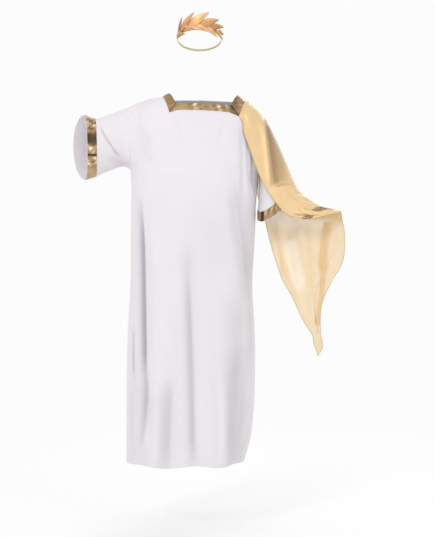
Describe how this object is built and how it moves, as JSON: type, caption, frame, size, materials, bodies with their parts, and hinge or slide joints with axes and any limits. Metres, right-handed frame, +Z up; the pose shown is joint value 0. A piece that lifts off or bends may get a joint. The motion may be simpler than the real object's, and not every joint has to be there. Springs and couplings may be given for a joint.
{
  "type": "roman emperor costume",
  "caption": "Ankle-length white costume tunic with gold neck and cuff bands, a sheer gold drape over one arm and a gold leaf wreath, held in its worn form.",
  "frame": {"origin": "between the shoulders, at shoulder height, where the wearer holds the tunic up", "axes": "+Z up, the front of the garment faces -Y, the arm under the drape is towards +X"},
  "size_m": [0.9773, 0.3281, 1.5947],
  "materials": {
    "white_cloth": "matte fine polyester knit",
    "gold_lame": "antique gold crinkled metallic lame",
    "sheer_gold": "sheer pale gold satin voile",
    "leaf_foil": "peach gold satin foil cloth",
    "elastic": "plain woven elastic"
  },
  "bodies": {
    "root": {"tunic_front": "white_cloth", "tunic_back": "white_cloth", "neck_band_front": "gold_lame", "neck_band_back": "gold_lame", "cuff_band_raised_sleeve": "gold_lame", "cuff_band_lowered_sleeve": "gold_lame", "wrist_band": "gold_lame", "drape": "sheer_gold", "wreath_stem": "leaf_foil", "wreath_elastic": "elastic", "wreath_leaf_lower_1": "leaf_foil", "wreath_leaf_upper_1": "leaf_foil", "wreath_leaf_upper_2": "leaf_foil", "wreath_leaf_lower_2": "leaf_foil", "wreath_leaf_upper_3": "leaf_foil", "wreath_leaf_lower_3": "leaf_foil", "wreath_leaf_upper_4": "leaf_foil", "wreath_leaf_lower_4": "leaf_foil", "wreath_leaf_upper_5": "leaf_foil", "wreath_leaf_lower_5": "leaf_foil", "wreath_leaf_upper_6": "leaf_foil"}
  },
  "joints": []
}
